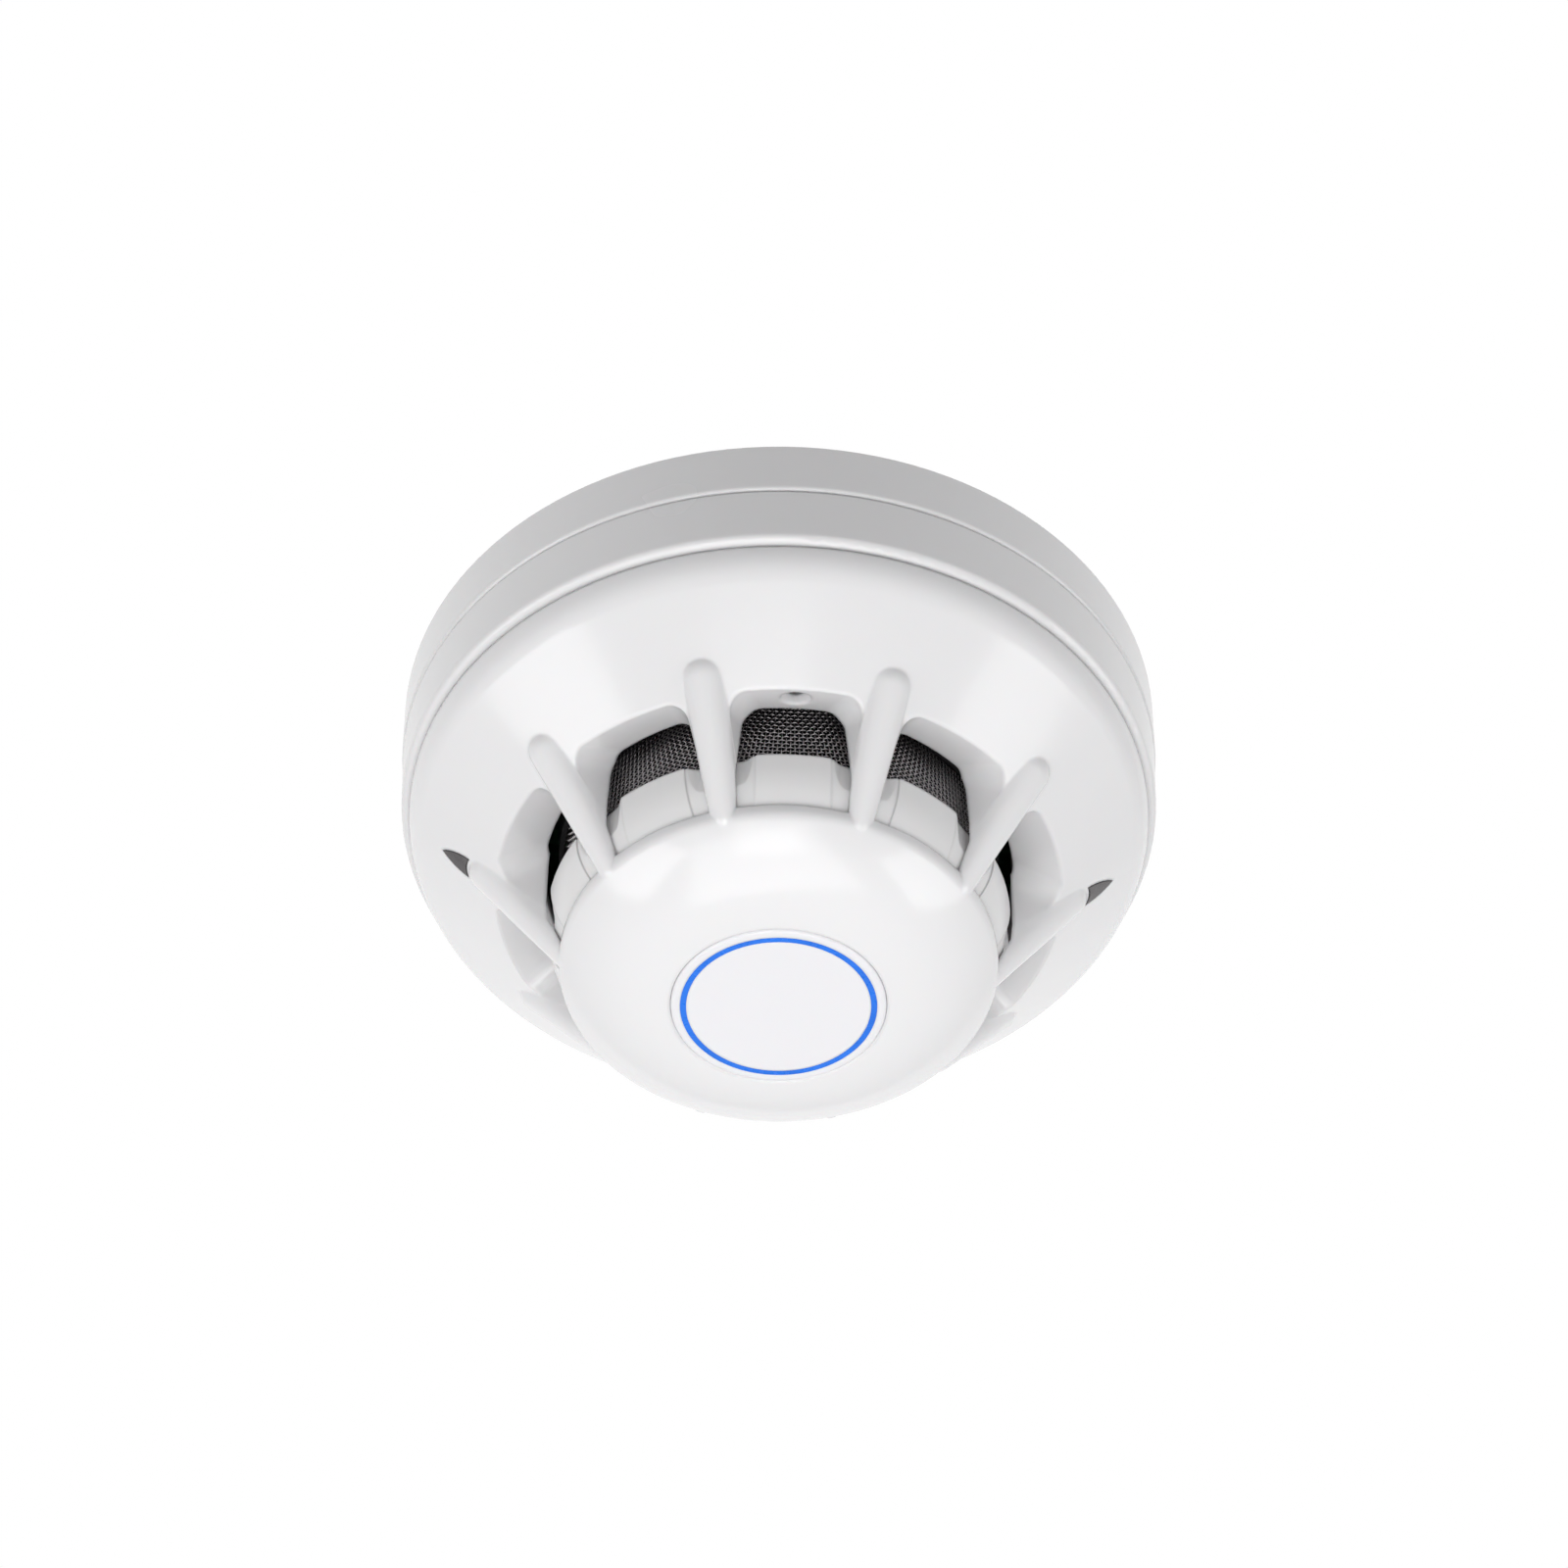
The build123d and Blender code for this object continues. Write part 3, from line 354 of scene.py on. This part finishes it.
# ---------------------------------------------------------------- finishes of all pieces
WHITE = (0.86, 0.855, 0.862)
SHELL_WHITE = glossy_white("gloss_white_shell", WHITE, 0.18, 0.8 * MM)
BASE_WHITE = glossy_white("gloss_white_base", (0.83, 0.825, 0.83), 0.26)
DEFLECTOR_WHITE = glossy_white("gloss_white_deflector", (0.84, 0.835, 0.835), 0.24)
INSERT_WHITE = glossy_white("pale_lavender_disc", (0.87, 0.862, 0.885), 0.3)
BLACK_PLASTIC = moulded_plastic("matt_black_plastic", (0.012, 0.012, 0.013), 0.6, 0.15 * MM, 0.3, 3000.0)
STEEL = metal("zinc_plated_steel", (0.62, 0.61, 0.58), 0.3)
SPRING_STEEL = metal("spring_steel", (0.5, 0.5, 0.5), 0.22)
BRONZE = metal("tinned_bronze", (0.72, 0.66, 0.5), 0.25)
BRASS = metal("brass", (0.75, 0.58, 0.28), 0.28)
DARK_WIRE = mesh_wire("dark_steel_wire")
SLEEVE = moulded_plastic("sleeve_plastic", (0.6, 0.57, 0.5), 0.45, 0.1 * MM, 0.1, 3000.0)
NYLON = moulded_plastic("grey_nylon", (0.42, 0.43, 0.44), 0.42, 0.2 * MM, 0.1, 2200.0)
CHIP = moulded_plastic("chip_epoxy", (0.02, 0.02, 0.021), 0.5, 0.08 * MM, 0.25, 5000.0)
BEAD = moulded_plastic("bead_epoxy", (0.03, 0.03, 0.032), 0.25, 0.0, 0.08, 3000.0)
CAN = moulded_plastic("capacitor_sleeve", (0.03, 0.045, 0.1), 0.3, 0.15 * MM, 0.05, 2500.0)
CLEAR_LAMP = moulded_plastic("milky_lamp_epoxy", (0.6, 0.2, 0.18), 0.2, 0.1 * MM, 0.04, 2500.0)
DARK_LAMP = moulded_plastic("infrared_epoxy", (0.05, 0.02, 0.05), 0.18, 0.1 * MM, 0.04, 2500.0)

FINISHES = {
    "base_ring": BASE_WHITE,
    "rear_housing": BASE_WHITE,
    "outer_cover": SHELL_WHITE,
    "deflector_ring": DEFLECTOR_WHITE,
    "nose_insert": INSERT_WHITE,
    "blue_ring": blue_plastic_painted_glow("blue_ring_plastic"),
    "left_led_lens": smoked_lens("smoked_lens_left"),
    "right_led_lens": smoked_lens("smoked_lens_right"),
    "insect_mesh": DARK_WIRE,
    "contact_springs": BRONZE,
    "clamp_washers": STEEL,
    "terminal_screws": STEEL,
    "lock_pin": NYLON,
    "lock_spring": SPRING_STEEL,
    "lock_cap": NYLON,
    "contact_blades": BRONZE,
    "contact_rivets": BRASS,
    "cover_screws": STEEL,
    "board_screws": STEEL,
    "optical_block": BLACK_PLASTIC,
    "labyrinth": BLACK_PLASTIC,
    "chamber_lid": BLACK_PLASTIC,
    "ir_emitter": DARK_LAMP,
    "photodiode": DARK_LAMP,
    "diode_screen": SPRING_STEEL,
    "thermistors": BEAD,
    "thermistor_sleeves": SLEEVE,
    "circuit_board": printed_board("green_circuit_board"),
    "microcontroller": CHIP,
    "small_chips": CHIP,
    "capacitors": CAN,
    "left_led": CLEAR_LAMP,
    "right_led": CLEAR_LAMP,
}

for node_name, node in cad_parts.items():
    if not node.material_slots:
        node.data.materials.append(FINISHES[node_name])
    for slot in node.material_slots:
        slot.material = FINISHES[node_name]

warp = weave_family("mesh_wires_along_x", 1)
weft = weave_family("mesh_wires_along_y", -1)
cup_floor = mesh_floor("mesh_cup_floor")
for piece, finish in ((warp, DARK_WIRE), (weft, DARK_WIRE), (cup_floor, woven_floor("woven_floor"))):
    piece.data.materials.append(finish)
    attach(piece, "head")
    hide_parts("insect_mesh")

# ---------------------------------------------------------------- surroundings, light and camera
FLOOR_DROP = 1.0
FLOOR_REACH = 40.0
FLOOR_CLOUDS = 3.0  # to the metre
floor_corners = [(x, y, 0) for x, y in ((-1, -1), (1, -1), (1, 1), (-1, 1))]
floor = new_piece(
    "floor", [(FLOOR_REACH * x, FLOOR_REACH * y, z) for x, y, z in floor_corners], [(0, 1, 2, 3)]
)
floor.location = (0, 0, -FLOOR_DROP)
floor_paint, floor_tree, floor_shader = new_material("pale_floor")
floor_clouds = object_noise(floor_tree, FLOOR_CLOUDS)
floor_tree.links.new(
    colour_between(floor_tree, floor_clouds, (0.7, 0.7, 0.705), (0.72, 0.72, 0.72)),
    floor_shader.inputs["Base Color"],
)
floor_shader.inputs["Roughness"].default_value = 0.8
floor.data.materials.append(floor_paint)

# The camera looks up at the front from below. Directions are from the detector.
CAMERA_AZIMUTH = math.radians(3.55)  # to the left of straight ahead
CAMERA_DROP = math.radians(47.342)
CAMERA_DISTANCE = 0.608
CAMERA_AIM = Vector((0.68 * MM, 0, -9.36 * MM))
CAMERA_LENS = 104.22


def from_detector(azimuth, drop, distance):
    """The point this far from the origin, below the horizontal by drop; azimuth 0 is -y."""
    level = distance * math.cos(drop)
    return Vector(
        (-level * math.sin(azimuth), -level * math.cos(azimuth), -distance * math.sin(drop))
    )


camera = bpy.data.objects.new("camera", bpy.data.cameras.new("camera"))
scene.collection.objects.link(camera)
camera.data.lens = CAMERA_LENS
camera.location = from_detector(CAMERA_AZIMUTH, CAMERA_DROP, CAMERA_DISTANCE)
camera.rotation_euler = (CAMERA_AIM - camera.location).to_track_quat("-Z", "Y").to_euler()
scene.camera = camera


def soft_box(name, azimuth, drop, distance, size, power):
    """A square area light aimed at the detector."""
    light = bpy.data.lights.new(name, "AREA")
    light.size = size
    light.energy = power
    lamp = bpy.data.objects.new(name, light)
    scene.collection.objects.link(lamp)
    lamp.location = from_detector(math.radians(azimuth), math.radians(drop), distance)
    lamp.rotation_euler = (-lamp.location).to_track_quat("-Z", "Y").to_euler()
    lamp.visible_camera = False


# Azimuth and drop in degrees, distance and size in metres, power in watts.
soft_box("key_from_below", 20, 75, 0.85, 0.7, 2.1)
soft_box("wire_sparkle", 10, 58, 0.75, 0.3, 0.4)
soft_box("left_fill", 80, 40, 1.0, 0.5, 1.65)
soft_box("right_fill", -80, 40, 1.0, 0.5, 1.55)

# Studio surround: white where the camera looks, dimmer behind it.
SURROUND_DIM = (0.28, 0.28, 0.285)
SURROUND_WHITE = (1.0, 1.0, 1.0)
WHITE_FROM = 0.72  # cosine of the angle from the bright side
BRIGHT_SIDE = Vector((0, math.cos(CAMERA_DROP), math.sin(CAMERA_DROP)))
world = bpy.data.worlds.new("studio")
scene.world = world
world.use_nodes = True
sky = world.node_tree
direction = sky.nodes.new("ShaderNodeTexCoord")
facing = sky.nodes.new("ShaderNodeVectorMath")
facing.operation = "DOT_PRODUCT"
facing.inputs[1].default_value = BRIGHT_SIDE
sky.links.new(direction.outputs["Generated"], facing.inputs[0])
sky.links.new(
    colour_between(sky, facing.outputs["Value"], SURROUND_DIM, SURROUND_WHITE, 0.0, WHITE_FROM),
    sky.nodes["Background"].inputs["Color"],
)
scene.view_settings.view_transform = "Standard"
